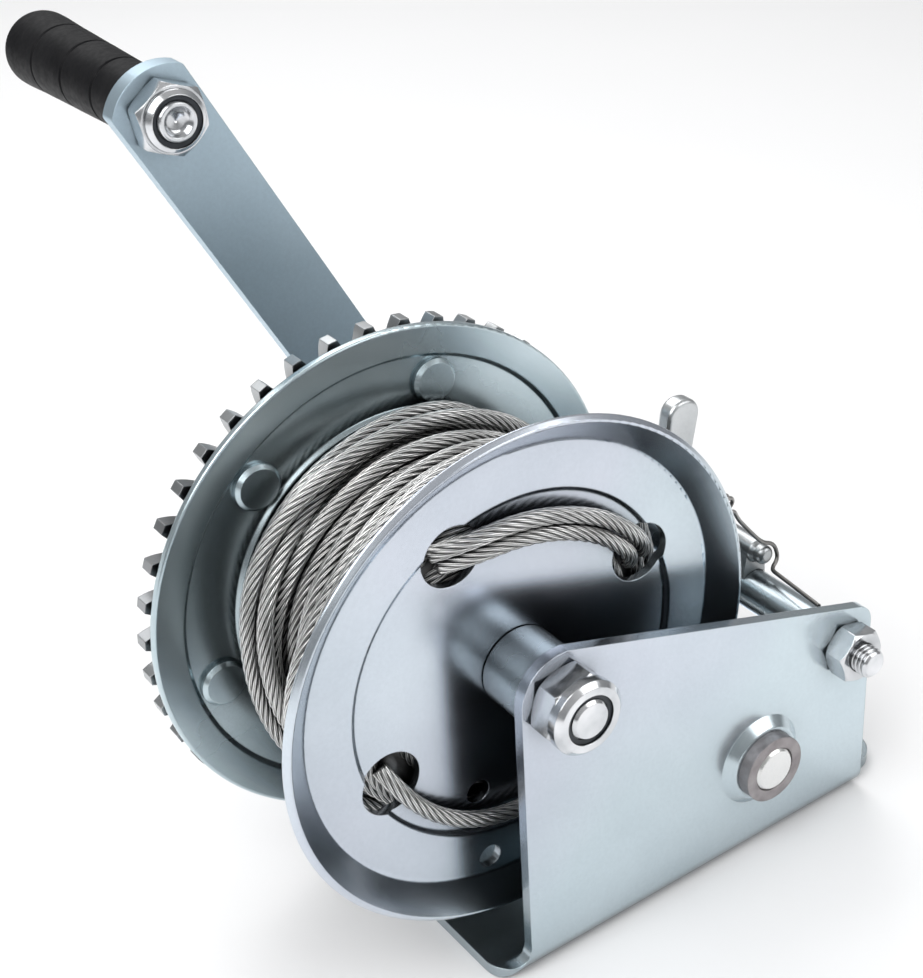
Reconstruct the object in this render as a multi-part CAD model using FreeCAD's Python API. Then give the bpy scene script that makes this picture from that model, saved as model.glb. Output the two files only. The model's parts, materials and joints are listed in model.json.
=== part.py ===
"""Hand winch for a boat trailer: a rope drum driven by a crank through one pair of gears.

Units are millimetres. X runs along the side plates from the drum to the tie rod, Y runs across
the winch from the plain side to the gear and crank side, and Z is up. The origin is on the
underside of the base, below the drum axle, midway between the side plates.
"""
import FreeCAD, Part
import math
import os

Vector = FreeCAD.Vector

# ---- Driving dimensions ---------------------------------------------------------------------
SHEET = 3.0                    # frame sheet thickness
FRAME_WIDTH = 82.0             # over the outer faces of the side plates
AXLE_HEIGHT = 75.0             # drum axle above the base underside
PLATE_FRONT = -11.0            # front edge of the side plates
PLATE_REAR = 98.0              # rear edge of the side plates
PLATE_SLOPE = 16.8             # fall of the top edge towards the rear, degrees
BASE_FRONT = -19.0             # the base stands out past the side plates at both ends
BASE_REAR = 110.0

MODULE = 3.0                   # gear pair
GEAR_TEETH = 42
PINION_TEETH = 9
PINION_SHIFT = 0.45            # profile shift that keeps the small pinion free of undercut
PRESSURE_ANGLE = 20.0
GEAR_ADDENDUM = 1.0            # tooth heights above and below the pitch circle, in modules
PINION_ADDENDUM = 0.75
DEDENDUM = 1.25
BACKLASH = 0.12
PINION_DIRECTION = -38.0       # from the drum axle to the crank shaft, degrees above +X

TIE_ROD_X = 88.7
TIE_ROD_Z = 49.5

ROPE = 4.0                     # rope diameter
CRANK_LENGTH = 178.5           # crank shaft to grip bolt
CRANK_ANGLE = 118.46           # rest direction of the crank arm, degrees above +X

# ---- Frame ----------------------------------------------------------------------------------
OUTER = FRAME_WIDTH / 2        # outer face of the far side plate
INNER = OUTER - SHEET          # inner face of the far side plate
BEND_OUTER = 5.0
BEND_INNER = BEND_OUTER - SHEET
NOSE = 12.0                    # distance of the sloping top edge from the axle
REAR_CORNER = 6.0
FOOT_ROUND = 2.0               # lower rear corner of the side plates
FRONT_CORNER = PLATE_FRONT - BASE_FRONT        # plan radius of the front tongue's corners
TONGUE_HALF = 36.5             # half width of the rear tongue
TONGUE_CORNER = 8.0
MOUNT_HOLE_R = 5.25
MOUNT_FRONT_X = 14.0
MOUNT_SPACING_X = 64.0
MOUNT_SPACING_Y = 40.0

# ---- Shafts and bushes ----------------------------------------------------------------------
RUN = 0.05                     # radial running clearance
PRESS = 0.02                   # radial clearance of wheels fixed to the shaft
GAP = 0.3                      # end clearance between turning and fixed pieces
NYLON_WALL = 1.1               # wall of the ring in a lock nut's collar
NYLON_FLOOR = 0.02             # gap under the ring, as a part of the nut's height
NYLON_SUNK = 0.6
CENTRE_DISTANCE = MODULE * (GEAR_TEETH + PINION_TEETH) / 2
SHAFT_X = CENTRE_DISTANCE * math.cos(math.radians(PINION_DIRECTION))
SHAFT_Z = AXLE_HEIGHT + CENTRE_DISTANCE * math.sin(math.radians(PINION_DIRECTION))
AXLE_R = 5.0
AXLE_HOLE_R = 5.1
JOURNAL_R = 6.0
SHAFT_R = 7.0
SHAFT_BUSH_R = 9.0
SHAFT_BUSH_OUT = 5.7           # how far the near bush stands out of the side plate
SHAFT_BUSH_IN = 1.5
BUSH_COLLAR_R = 12.5           # raised ring pressed into the near plate round the bush
BUSH_COLLAR_TOP_R = 9.9
BUSH_COLLAR_HEIGHT = 2.4
DIMPLE_INSET = 0.5             # the hollow behind the collar is this much smaller in radius
TIE_BOLT_R = 4.0
TIE_HOLE_R = 4.15
TIE_TUBE_R = 5.5
TIE_TUBE_BORE = 4.1
SPACER_R = 9.8

# ---- Bolts and nuts -------------------------------------------------------------------------
BOLT_CHAMFER = 0.7
HEX_SHARE = 0.74               # part of a lock nut's height that is hexagonal
COLLAR_CHAMFER = 1.2
AXLE_ACROSS = 17.0             # across the flats
AXLE_HEAD = 6.4
AXLE_END = 10.6                # bolt end beyond the near plate
AXLE_NUT_HEIGHT = 10.3
AXLE_NUT_COLLAR_R = 9.2
AXLE_NUT_TURN = 14.0           # where the tightened nut's corners point, degrees
TIE_ACROSS = 13.0
TIE_HEAD = 5.3
TIE_END = 10.9
TIE_NUT_HEIGHT = 6.5
TIE_NUT_TURN = 48.0
HEX_CHAMFER = 1.0
SMALL_HEX_CHAMFER = 0.8

# ---- Drum -----------------------------------------------------------------------------------
FLANGE_SHEET = 2.2
NEAR_RIM_Y = -31.0             # outer lip of the near flange
NEAR_RING_Y = -25.0            # outer face of its flat ring
NEAR_RIM_R = 63.1
FAR_RING_Y = 27.6              # rope side of the far flange's flat ring
FAR_RIM_Y = 25.9
FAR_RIM_R = 64.3
HUB_STEP = 1.0                 # the middle of each flange is pressed towards the rope
HUB_R = 43.4
FLARE_R = 55.4                 # where the near flange starts to flare
FAR_STEP_R = 55.7
FAR_STEP = 0.9
BARREL_R = 22.0
BARREL_BORE = 19.5
DRUM_BUSH_R = 8.0
DRUM_BUSH_LENGTH = 12.0
ROPE_HOLE_R = 7.6
ROPE_HOLE_CIRCLE = 38.6
ROPE_HOLE_START = 24.4         # first of four rope holes, degrees above +X
ROPE_SLANT = 4.5               # a loop crosses the flange within this many degrees of a hole's middle
CLAMP_HOLES = ((32.8, 247.5), (51.0, 257.6))   # distance from the axle, direction
CLAMP_HOLE_R = 3.0
WOUND_R = 47.0                 # outside of the wound rope
WOUND_RIDGES = 6
WOUND_GAP = 0.2                # clearance to the flanges and the barrel
WOUND_CROWN = 7.3              # how strongly the ridges fall away from the highest one
CROWN_RIDGE = 2                # the highest ridge, counted from the near flange
RIDGE_SHOULDER = 0.7
RIDGE_VALLEY = 2.2
WOUND_SIDE = 4.0               # how far the winding falls off against the flanges
LOOP_SPREAD = 2.1              # the two upper loops lie this far either side of the hole circle
LOOP_SPANS = 4                 # straight runs in one loop
LOOP_GAP = 0.5                 # from a loop to the flange at its ends
LOOP_BOW = 1.0                 # extra distance at its middle
LIP_WIDTH = 1.5                # bevelled lip of the near flange
LIP_ROUND = 0.5
STEP_ROUND = 0.8
FLARE_ROUND = 1.5
GEAR_WIDTH = 4.0
RIVET_CIRCLE = 49.6
RIVET_START = 13.5
RIVET_COUNT = 6
RIVET_R = 3.0
RIVET_HEAD_R = 5.8
RIVET_HEAD = 2.0
RIVET_TAIL = 1.4
RIVET_TAIL_R = 4.6
RIVET_CHAMFER = 0.9

NEAR_HUB_Y = NEAR_RING_Y + HUB_STEP            # outer face of the near flange's middle
NEAR_HUB_BACK = NEAR_HUB_Y + FLANGE_SHEET
FAR_HUB_Y = FAR_RING_Y - HUB_STEP
FAR_HUB_BACK = FAR_HUB_Y + FLANGE_SHEET
GEAR_Y = FAR_RING_Y + FLANGE_SHEET
GEAR_BACK = GEAR_Y + GEAR_WIDTH

# ---- Crank shaft ----------------------------------------------------------------------------
PINION_Y = 29.2
PINION_BACK = 36.9
RATCHET_Y = 17.5
RATCHET_BACK = 23.5
RATCHET_TIP = 14.0
RATCHET_ROOT = 10.5
RATCHET_TEETH = 12
ROOT_HALF = 6.5                # half width of a ratchet tooth at its root and tip, degrees
TIP_HALF = 4.5
FAR_BUSH_OUT = 4.0
ARM_SEAT_Y = 49.0              # inner face of the arm at the shaft
ARM_THICK = 5.0
ARM_WIDTH = 21.0
ARM_OFFSET = 23.0              # how far the arm bends outwards
ARM_BEND_START = 26.0          # distances from the shaft to the two bends
ARM_BEND_END = 56.0
ARM_END_R = 14.5               # the outer end is a shallow arc with small corners
ARM_END_CREST = 11.0           # its crest beyond the grip bolt
ARM_END_CORNER = 1.5
SHAFT_END_OUT = 0.4            # shaft end beyond the near bush
SHAFT_CHAMFER = 0.8
DRIVE_SQUARE = 8.4
SQUARE_SHORT = 0.3             # the square ends this far inside the arm
STUB_R = 4.0
STUB_LENGTH = 11.0
ARM_BEND_R = 6.0
ARM_WASHER_R = 8.5
ARM_WASHER_THICK = 1.6
WASHER_PLAY = 0.25
ARM_NUT_ACROSS = 13.0
ARM_NUT_COLLAR_R = 6.3
ARM_NUT_HEIGHT = 8.0
GRIP_BOLT_R = 5.0
GRIP_NUT_ACROSS = 16.0
GRIP_NUT_HEIGHT = 7.4
GRIP_NUT_COLLAR_R = 7.3
GRIP_NUT_TURN = 40.0
WASHER_Y = ARM_SEAT_Y + ARM_THICK
ARM_NUT_Y = WASHER_Y + ARM_WASHER_THICK
ARM_OUT_Y = ARM_SEAT_Y + ARM_OFFSET            # inner face of the arm's outer stretch
GRIP_START = ARM_OUT_Y + ARM_THICK + 0.4
GRIP_END = 142.0
GRIP_GROOVES = (92.5, 108.5, 124.5)
GRIP_GROOVE = 0.6              # depth and half width of a ring groove
GRIP_THIN_R = 8.0
GRIP_THICK_R = 9.7
GRIP_HEAD_R = 5.6
GRIP_END_ROUND = 3.5           # rounding of the grip's outer end
GRIP_HEAD_DEPTH = 6.0
GRIP_BOLT_OUT = 0.3            # bolt end beyond the grip's lock nut

# ---- Pawl -----------------------------------------------------------------------------------
PAWL_Y = 18.0
PAWL_BACK = 23.0
PAWL_HUB_R = 8.6
PAWL_HUB_FRONT = 6.0
PAWL_SADDLE_FRONT = -6.5       # a saddle over the tie rod carries the stud past the hub
PAWL_STUD_FRONT = -11.0
PAWL_EDGE = 1.2                # edge rounding of the thumb lever
PAWL_REACH = 24.5              # tie rod axis to the tip of the pawl's nose
PAWL_OPEN = 29.0               # nose direction off the line to the crank shaft, pawl released
PAWL_TRAVEL = 18.0             # turn that drops the nose into the ratchet wheel
RATCHET_LEAD = 1.4             # extra turn of the wheel that lets the nose swing in freely
STUD_R = 3.3
STUD_TIP_R = 2.6
STUD_X = TIE_ROD_X + 0.7
STUD_Z = TIE_ROD_Z + 11.8
SPRING_WIRE = 1.1
SPRING_EYE_R = 2.0
SPRING_EYE_STEPS = 15          # sixths of a turn in the coiled eye
SPRING_EYE_RISE = 0.3          # sideways shift for each of them

OVERLAP = 1.0                  # how far cutting and joining shapes run past the face they meet
TOUCH = 1e-6                   # points nearer than this are the same point


# ---- Shape helpers --------------------------------------------------------------------------
def cylinder(x, z, radius, y0, y1):
    """Round bar along Y."""
    return Part.makeCylinder(radius, y1 - y0, Vector(x, y0, z), Vector(0, 1, 0))


def tube(x, z, radius, bore, y0, y1):
    """Round tube along Y."""
    return cylinder(x, z, radius, y0, y1).cut(cylinder(x, z, bore, y0 - OVERLAP, y1 + OVERLAP))


def turned(x, z, profile):
    """Solid turned about the line along Y through (x, z); profile is (radius, y[, rounding]) corners."""
    corners = [(corner + (0,))[:3] for corner in profile]
    outline = rounded_wire(corners, lambda radius, y: Vector(x + radius, y, z))
    return Part.Face(outline).revolve(Vector(x, 0, z), Vector(0, 1, 0), 360)


def corner_arc(before, corner, after, radius):
    """Start, middle and end of the arc that rounds a corner."""
    back = (before - corner).normalize()
    ahead = (after - corner).normalize()
    half = back.getAngle(ahead) / 2
    run = radius / math.tan(half)
    centre = corner + (back + ahead).normalize() * (radius / math.sin(half))
    middle = centre + (corner - centre).normalize() * radius
    return corner + back * run, middle, corner + ahead * run


def rounded_wire(corners, place):
    """Closed outline of (u, v, radius) corners; place turns (u, v) into a point."""
    points = [place(u, v) for u, v, _ in corners]
    count = len(points)
    edges = []
    stops = []
    for i in range(count):
        radius = corners[i][2]
        if radius > 0:
            stops.append(corner_arc(points[i - 1], points[i], points[(i + 1) % count], radius))
        else:
            stops.append((points[i],))
    for i in range(count):
        if len(stops[i]) == 3:
            edges.append(Part.Arc(*stops[i]).toShape())
        start = stops[i][-1]
        end = stops[(i + 1) % count][0]
        if start.distanceToPoint(end) > TOUCH:
            edges.append(Part.LineSegment(start, end).toShape())
    return Part.Wire(edges)


def side_plate(corners, y0, y1):
    """Flat plate with an outline of (x, z, radius) corners, from y0 to y1."""
    face = Part.Face(rounded_wire(corners, lambda x, z: Vector(x, y0, z)))
    return face.extrude(Vector(0, y1 - y0, 0))


def hexagon(x, z, across, y0, y1, chamfer=0.0, turn=0.0):
    """Hexagonal bar along Y with its corners turned down at both ends."""
    corner_r = across / math.sqrt(3)
    ring = []
    for i in range(6):
        angle = math.radians(60 * i + turn)
        ring.append(Vector(x + corner_r * math.cos(angle), y0, z + corner_r * math.sin(angle)))
    bar = Part.Face(Part.makePolygon(ring + ring[:1])).extrude(Vector(0, y1 - y0, 0))
    if chamfer == 0:
        return bar
    flat_r = across / 2
    barrel = turned(x, z, [(0, y0), (flat_r, y0), (corner_r, y0 + chamfer),
                           (corner_r, y1 - chamfer), (flat_r, y1), (0, y1)])
    return bar.common(barrel)


def lock_nut(x, z, across, collar_r, bore, seat, tip, turn=0.0):
    """Lock nut from its seat towards tip, with a turned collar that holds a nylon ring."""
    way = 1 if tip > seat else -1
    height = abs(tip - seat)
    hex_height = HEX_SHARE * height
    low, high = sorted((seat, seat + way * hex_height))
    body = hexagon(x, z, across, low, high, HEX_CHAMFER, turn)
    collar_y = seat + way * (hex_height - OVERLAP)
    collar = turned(x, z, [(0, collar_y), (collar_r, collar_y), (collar_r, tip - way * COLLAR_CHAMFER),
                           (collar_r - COLLAR_CHAMFER, tip), (0, tip)])
    nut = body.fuse(collar)
    low, high = sorted((seat - way * OVERLAP, tip + way * OVERLAP))
    nut = nut.cut(cylinder(x, z, bore, low, high))
    low, high = sorted((seat + way * hex_height, tip + way * OVERLAP))
    return nut.cut(cylinder(x, z, bore + NYLON_WALL, low, high)).removeSplitter()


def nylon_ring(x, z, bore, seat, tip):
    """Ring held in a lock nut's collar, clear of its floor and sunk below its end."""
    height = tip - seat
    low, high = sorted((seat + (HEX_SHARE + NYLON_FLOOR) * height, tip - math.copysign(NYLON_SUNK, height)))
    return tube(x, z, bore + NYLON_WALL - RUN, bore, low, high)


def through_bolt(x, z, radius, end, across, head, chamfer):
    """Bolt through both side plates, its head on the far one; end is its length past the near one."""
    tip_y = -OUTER - end
    shank = turned(x, z, [(0, tip_y), (radius - BOLT_CHAMFER, tip_y), (radius, tip_y + BOLT_CHAMFER),
                          (radius, OUTER + OVERLAP), (0, OUTER + OVERLAP)])
    return shank.fuse(hexagon(x, z, across, OUTER, OUTER + head, chamfer)).removeSplitter()


def polar(distance, direction):
    """Point in the XZ plane at a distance and direction from the drum axle."""
    angle = math.radians(direction)
    return distance * math.cos(angle), AXLE_HEIGHT + distance * math.sin(angle)


def tube_along(points, radius, bend_share=0.45):
    """Round tube along straight runs joined by tangent arcs, and its bend radii."""
    edges = []
    radii = []
    start = points[0]
    for before, corner, after in zip(points, points[1:], points[2:]):
        half = (before - corner).getAngle(after - corner) / 2
        run = min(before.distanceToPoint(corner), corner.distanceToPoint(after))
        bend = bend_share * run * math.tan(half)
        first, middle, last = corner_arc(before, corner, after, bend)
        edges.append(Part.LineSegment(start, first).toShape())
        edges.append(Part.Arc(first, middle, last).toShape())
        start = last
        radii.append(bend)
    edges.append(Part.LineSegment(start, points[-1]).toShape())
    path = Part.Wire(edges)
    circle = Part.makeCircle(radius, points[0], points[1] - points[0])
    solid = path.makePipeShell([Part.Wire([circle])], True, True)
    return solid, radii, path.Length


# ---- Gears ----------------------------------------------------------------------------------
def involute(angle):
    return math.tan(angle) - angle


def spur_wheel(x, z, teeth, shift, tip, root, phase, y0, y1):
    """Involute spur wheel; phase is the direction of one tooth's middle in degrees."""
    pressure = math.radians(PRESSURE_ANGLE)
    pitch_r = MODULE * teeth / 2
    base_r = pitch_r * math.cos(pressure)
    half_at_pitch = (math.pi / 2 + 2 * shift * math.tan(pressure)) / teeth - BACKLASH / 2 / pitch_r

    def half_width(radius):
        at = math.acos(min(1.0, base_r / radius))
        return half_at_pitch + involute(pressure) - involute(at)

    def point(radius, angle):
        return Vector(x + radius * math.cos(angle), y0, z + radius * math.sin(angle))

    flank_start = max(root, base_r)
    flank_middle = (flank_start + tip) / 2
    pitch = 2 * math.pi / teeth
    edges = []
    for i in range(teeth):
        middle = math.radians(phase) + i * pitch
        foot = half_width(flank_start)
        rise = [point(r, middle - half_width(r)) for r in (flank_start, flank_middle, tip)]
        fall = [point(r, middle + half_width(r)) for r in (tip, flank_middle, flank_start)]
        if root < flank_start:
            edges.append(Part.LineSegment(point(root, middle - foot), rise[0]).toShape())
        edges.append(Part.Arc(*rise).toShape())
        edges.append(Part.Arc(rise[2], point(tip, middle), fall[0]).toShape())
        edges.append(Part.Arc(*fall).toShape())
        if root < flank_start:
            edges.append(Part.LineSegment(fall[2], point(root, middle + foot)).toShape())
        valley = (point(root, middle + foot), point(root, middle + pitch / 2),
                  point(root, middle + pitch - foot))
        edges.append(Part.Arc(*valley).toShape())
    return Part.Face(Part.Wire(edges)).extrude(Vector(0, y1 - y0, 0))


# ---- Frame and its fixed pieces -------------------------------------------------------------
def top_edge_height(x):
    """Height of the side plates' sloping top edge."""
    slope = math.radians(PLATE_SLOPE)
    return AXLE_HEIGHT + (NOSE - x * math.sin(slope)) / math.cos(slope)


def channel_section():
    """Bent sheet section: base and two upright sides."""
    top = AXLE_HEIGHT + NOSE
    corners = [(-OUTER, 0, BEND_OUTER), (OUTER, 0, BEND_OUTER), (OUTER, top, 0), (INNER, top, 0),
               (INNER, SHEET, BEND_INNER), (-INNER, SHEET, BEND_INNER), (-INNER, top, 0),
               (-OUTER, top, 0)]
    face = Part.Face(rounded_wire(corners, lambda y, z: Vector(BASE_FRONT, y, z)))
    return face.extrude(Vector(PLATE_REAR - BASE_FRONT, 0, 0))


def side_outline():
    """Side view of the frame: base, upright edges, round front corner and sloping top."""
    nose_corner = AXLE_HEIGHT + NOSE
    slope = math.radians(PLATE_SLOPE)
    nose_x = NOSE * math.tan(slope / 2)
    return side_plate([(BASE_FRONT, 0, 0), (PLATE_REAR, 0, FOOT_ROUND),
                       (PLATE_REAR, top_edge_height(PLATE_REAR), REAR_CORNER),
                       (nose_x, nose_corner, 0), (nose_x / 2, nose_corner, 0),
                       (PLATE_FRONT, nose_corner, -PLATE_FRONT), (PLATE_FRONT, SHEET, BEND_OUTER),
                       (BASE_FRONT, SHEET, 0)], -OUTER - OVERLAP, OUTER + OVERLAP)


def flat_plate(corners, height):
    """Flat plate lying on the base plane with an outline of (x, y, radius) corners."""
    face = Part.Face(rounded_wire(corners, lambda x, y: Vector(x, y, 0)))
    return face.extrude(Vector(0, 0, height))


def plan_outline():
    """Plan view of the channel: its front corners curve into the side plates."""
    return flat_plate([(BASE_FRONT, -OUTER, FRONT_CORNER), (PLATE_REAR, -OUTER, 0),
                       (PLATE_REAR, OUTER, 0), (BASE_FRONT, OUTER, FRONT_CORNER)], AXLE_HEIGHT + NOSE)


def rear_tongue():
    """Narrower end of the base behind the side plates."""
    start = PLATE_REAR - 2 * BEND_OUTER
    return flat_plate([(start, -TONGUE_HALF, 0), (BASE_REAR, -TONGUE_HALF, TONGUE_CORNER),
                       (BASE_REAR, TONGUE_HALF, TONGUE_CORNER), (start, TONGUE_HALF, 0)], SHEET)


def mount_holes():
    """Bolt holes in the base."""
    holes = []
    for x in (MOUNT_FRONT_X, MOUNT_FRONT_X + MOUNT_SPACING_X):
        for y in (-MOUNT_SPACING_Y / 2, MOUNT_SPACING_Y / 2):
            holes.append(Part.makeCylinder(MOUNT_HOLE_R, SHEET + 2 * OVERLAP, Vector(x, y, -OVERLAP)))
    return holes


def pressed_collar(foot_r, top_r, foot_y, rounding):
    """Low cone that stands out of the near plate round the shaft bush, from just under foot_y."""
    under_y = foot_y + OVERLAP / 2
    top_y = foot_y - BUSH_COLLAR_HEIGHT
    return turned(SHAFT_X, SHAFT_Z, [(0, under_y), (foot_r, under_y), (foot_r, foot_y),
                                     (top_r, top_y, rounding), (0, top_y)])


def frame_channel():
    body = channel_section().common(side_outline()).common(plan_outline()).fuse(rear_tongue())
    body = body.fuse(pressed_collar(BUSH_COLLAR_R, BUSH_COLLAR_TOP_R, -OUTER, STEP_ROUND))
    dimple_r, dimple_top_r = BUSH_COLLAR_R - DIMPLE_INSET, BUSH_COLLAR_TOP_R - DIMPLE_INSET
    body = body.cut(pressed_collar(dimple_r, dimple_top_r, -INNER, 0))
    for x, z, radius in ((0, AXLE_HEIGHT, AXLE_HOLE_R), (SHAFT_X, SHAFT_Z, SHAFT_BUSH_R),
                         (TIE_ROD_X, TIE_ROD_Z, TIE_HOLE_R)):
        body = body.cut(cylinder(x, z, radius, -OUTER - BUSH_COLLAR_HEIGHT - OVERLAP, OUTER + OVERLAP))
    for hole in mount_holes():
        body = body.cut(hole)
    return body.removeSplitter()


def drum_axle_bolt():
    return through_bolt(0, AXLE_HEIGHT, AXLE_R, AXLE_END, AXLE_ACROSS, AXLE_HEAD, HEX_CHAMFER)


def drum_axle_lock_nut():
    return lock_nut(0, AXLE_HEIGHT, AXLE_ACROSS, AXLE_NUT_COLLAR_R, AXLE_R + RUN, -OUTER,
                    -OUTER - AXLE_NUT_HEIGHT, AXLE_NUT_TURN)


def drum_axle_nylon_ring():
    return nylon_ring(0, AXLE_HEIGHT, AXLE_R + RUN, -OUTER, -OUTER - AXLE_NUT_HEIGHT)


def near_axle_spacer():
    return tube(0, AXLE_HEIGHT, SPACER_R, AXLE_HOLE_R, -INNER, NEAR_HUB_Y - GAP)


def far_axle_spacer():
    return tube(0, AXLE_HEIGHT, SPACER_R, AXLE_HOLE_R, GEAR_BACK + GAP, INNER)


def near_shaft_bush():
    return tube(SHAFT_X, SHAFT_Z, SHAFT_BUSH_R, JOURNAL_R + RUN, -OUTER - SHAFT_BUSH_OUT,
                -INNER + SHAFT_BUSH_IN)


def far_shaft_bush():
    return tube(SHAFT_X, SHAFT_Z, SHAFT_BUSH_R, JOURNAL_R + RUN, PINION_BACK + GAP, OUTER + FAR_BUSH_OUT)


def tie_rod_tube():
    return tube(TIE_ROD_X, TIE_ROD_Z, TIE_TUBE_R, TIE_TUBE_BORE, -INNER, INNER)


def tie_rod_bolt():
    return through_bolt(TIE_ROD_X, TIE_ROD_Z, TIE_BOLT_R, TIE_END, TIE_ACROSS, TIE_HEAD, SMALL_HEX_CHAMFER)


def tie_rod_nut():
    low, high = -OUTER - TIE_NUT_HEIGHT, -OUTER
    nut = hexagon(TIE_ROD_X, TIE_ROD_Z, TIE_ACROSS, low, high, SMALL_HEX_CHAMFER, TIE_NUT_TURN)
    return nut.cut(cylinder(TIE_ROD_X, TIE_ROD_Z, TIE_BOLT_R + RUN, low - OVERLAP, high + OVERLAP))


# ---- Drum, gear and rope --------------------------------------------------------------------
def rope_hole_directions():
    return [ROPE_HOLE_START + 90 * i for i in range(4)]


def near_flange():
    """Dished flange: hub, step, flat ring and a rim that flares outwards."""
    back_y = NEAR_RING_Y + FLANGE_SHEET
    front = [(DRUM_BUSH_R, NEAR_HUB_Y), (HUB_R - 0.6, NEAR_HUB_Y, STEP_ROUND),
             (HUB_R + 0.4, NEAR_RING_Y, STEP_ROUND), (FLARE_R, NEAR_RING_Y, FLARE_ROUND),
             (NEAR_RIM_R - LIP_WIDTH, NEAR_RIM_Y, LIP_ROUND)]
    back = [(NEAR_RIM_R, NEAR_RIM_Y + LIP_WIDTH, LIP_ROUND), (FLARE_R + 0.9, back_y, FLARE_ROUND),
            (HUB_R + 1, back_y, STEP_ROUND), (HUB_R, NEAR_HUB_BACK, STEP_ROUND),
            (DRUM_BUSH_R, NEAR_HUB_BACK)]
    flange = turned(0, AXLE_HEIGHT, front + back)
    for direction in rope_hole_directions():
        x, z = polar(ROPE_HOLE_CIRCLE, direction)
        flange = flange.cut(cylinder(x, z, ROPE_HOLE_R, NEAR_RIM_Y, NEAR_HUB_BACK + OVERLAP))
    for distance, direction in CLAMP_HOLES:
        x, z = polar(distance, direction)
        flange = flange.cut(cylinder(x, z, CLAMP_HOLE_R, NEAR_RIM_Y, NEAR_HUB_BACK + OVERLAP))
    return flange


def rivet_centres():
    return [polar(RIVET_CIRCLE, RIVET_START + 360 / RIVET_COUNT * i) for i in range(RIVET_COUNT)]


def far_flange():
    """Flange with a raised rim band; the gear is riveted behind its flat ring."""
    band_y = FAR_RING_Y - FAR_STEP
    front = [(DRUM_BUSH_R, FAR_HUB_Y), (HUB_R - 1, FAR_HUB_Y, 0.6), (HUB_R - 0.1, FAR_RING_Y, 0.4),
             (FAR_STEP_R, FAR_RING_Y, 0.2), (FAR_STEP_R + 0.9, band_y, 0.4), (FAR_RIM_R, FAR_RIM_Y, 0.6)]
    back = [(FAR_RIM_R, FAR_RIM_Y + FLANGE_SHEET, 0.6), (FAR_STEP_R + 1.8, band_y + FLANGE_SHEET),
            (FAR_STEP_R + 0.9, FAR_RING_Y + FLANGE_SHEET), (HUB_R - 1, FAR_RING_Y + FLANGE_SHEET),
            (HUB_R - 2, FAR_HUB_BACK), (DRUM_BUSH_R, FAR_HUB_BACK)]
    flange = turned(0, AXLE_HEIGHT, front + back)
    for x, z in rivet_centres():
        flange = flange.cut(cylinder(x, z, RIVET_R + RUN, FAR_RING_Y - OVERLAP, GEAR_Y + OVERLAP))
    return flange


def drum_barrel():
    return tube(0, AXLE_HEIGHT, BARREL_R, BARREL_BORE, NEAR_HUB_BACK, FAR_HUB_Y)


def drive_gear():
    tip = MODULE * (GEAR_TEETH / 2 + GEAR_ADDENDUM - PINION_SHIFT)
    root = MODULE * (GEAR_TEETH / 2 - DEDENDUM - PINION_SHIFT)
    gear = spur_wheel(0, AXLE_HEIGHT, GEAR_TEETH, -PINION_SHIFT, tip, root, PINION_DIRECTION,
                      GEAR_Y, GEAR_BACK)
    gear = gear.cut(cylinder(0, AXLE_HEIGHT, DRUM_BUSH_R, GEAR_Y - OVERLAP, GEAR_BACK + OVERLAP))
    for x, z in rivet_centres():
        gear = gear.cut(cylinder(x, z, RIVET_R + RUN, GEAR_Y - OVERLAP, GEAR_BACK + OVERLAP))
    return gear


def gear_rivet(x, z):
    """Rivet with a low round head on the rope side and a set tail on the gear side."""
    head_y = FAR_RING_Y - RIVET_HEAD
    tail_y = GEAR_BACK + RIVET_TAIL
    return turned(x, z, [(0, head_y), (RIVET_HEAD_R - RIVET_CHAMFER, head_y),
                         (RIVET_HEAD_R, head_y + RIVET_CHAMFER), (RIVET_HEAD_R, FAR_RING_Y),
                         (RIVET_R, FAR_RING_Y), (RIVET_R, GEAR_BACK), (RIVET_TAIL_R, GEAR_BACK),
                         (RIVET_TAIL_R, tail_y), (0, tail_y)])


def gear_rivets():
    return Part.makeCompound([gear_rivet(x, z) for x, z in rivet_centres()])


def near_drum_bush():
    return tube(0, AXLE_HEIGHT, DRUM_BUSH_R, AXLE_R + RUN, NEAR_HUB_Y, NEAR_HUB_Y + DRUM_BUSH_LENGTH)


def far_drum_bush():
    return tube(0, AXLE_HEIGHT, DRUM_BUSH_R, AXLE_R + RUN, GEAR_BACK - DRUM_BUSH_LENGTH, GEAR_BACK)


def wound_rope():
    """Outer shape of the rope wound on the drum: a barrel with one ridge for each pair of turns."""
    start = NEAR_HUB_BACK + WOUND_GAP
    end = FAR_HUB_Y - WOUND_GAP
    pitch = (end - start) / WOUND_RIDGES
    corners = [(BARREL_R + WOUND_GAP, start), (WOUND_R - WOUND_SIDE, start)]
    for i in range(WOUND_RIDGES):
        middle = start + (i + 0.5) * pitch
        crest = WOUND_R - WOUND_CROWN * ((i - CROWN_RIDGE) / WOUND_RIDGES) ** 2
        corners += [(crest - RIDGE_SHOULDER, middle - pitch * 0.3), (crest, middle),
                    (crest - RIDGE_SHOULDER, middle + pitch * 0.3),
                    (crest - RIDGE_VALLEY, middle + pitch * 0.5)]
    corners[-1] = (WOUND_R - WOUND_SIDE, end)
    corners += [(BARREL_R + WOUND_GAP, end)]
    return turned(0, AXLE_HEIGHT, corners)


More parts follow.
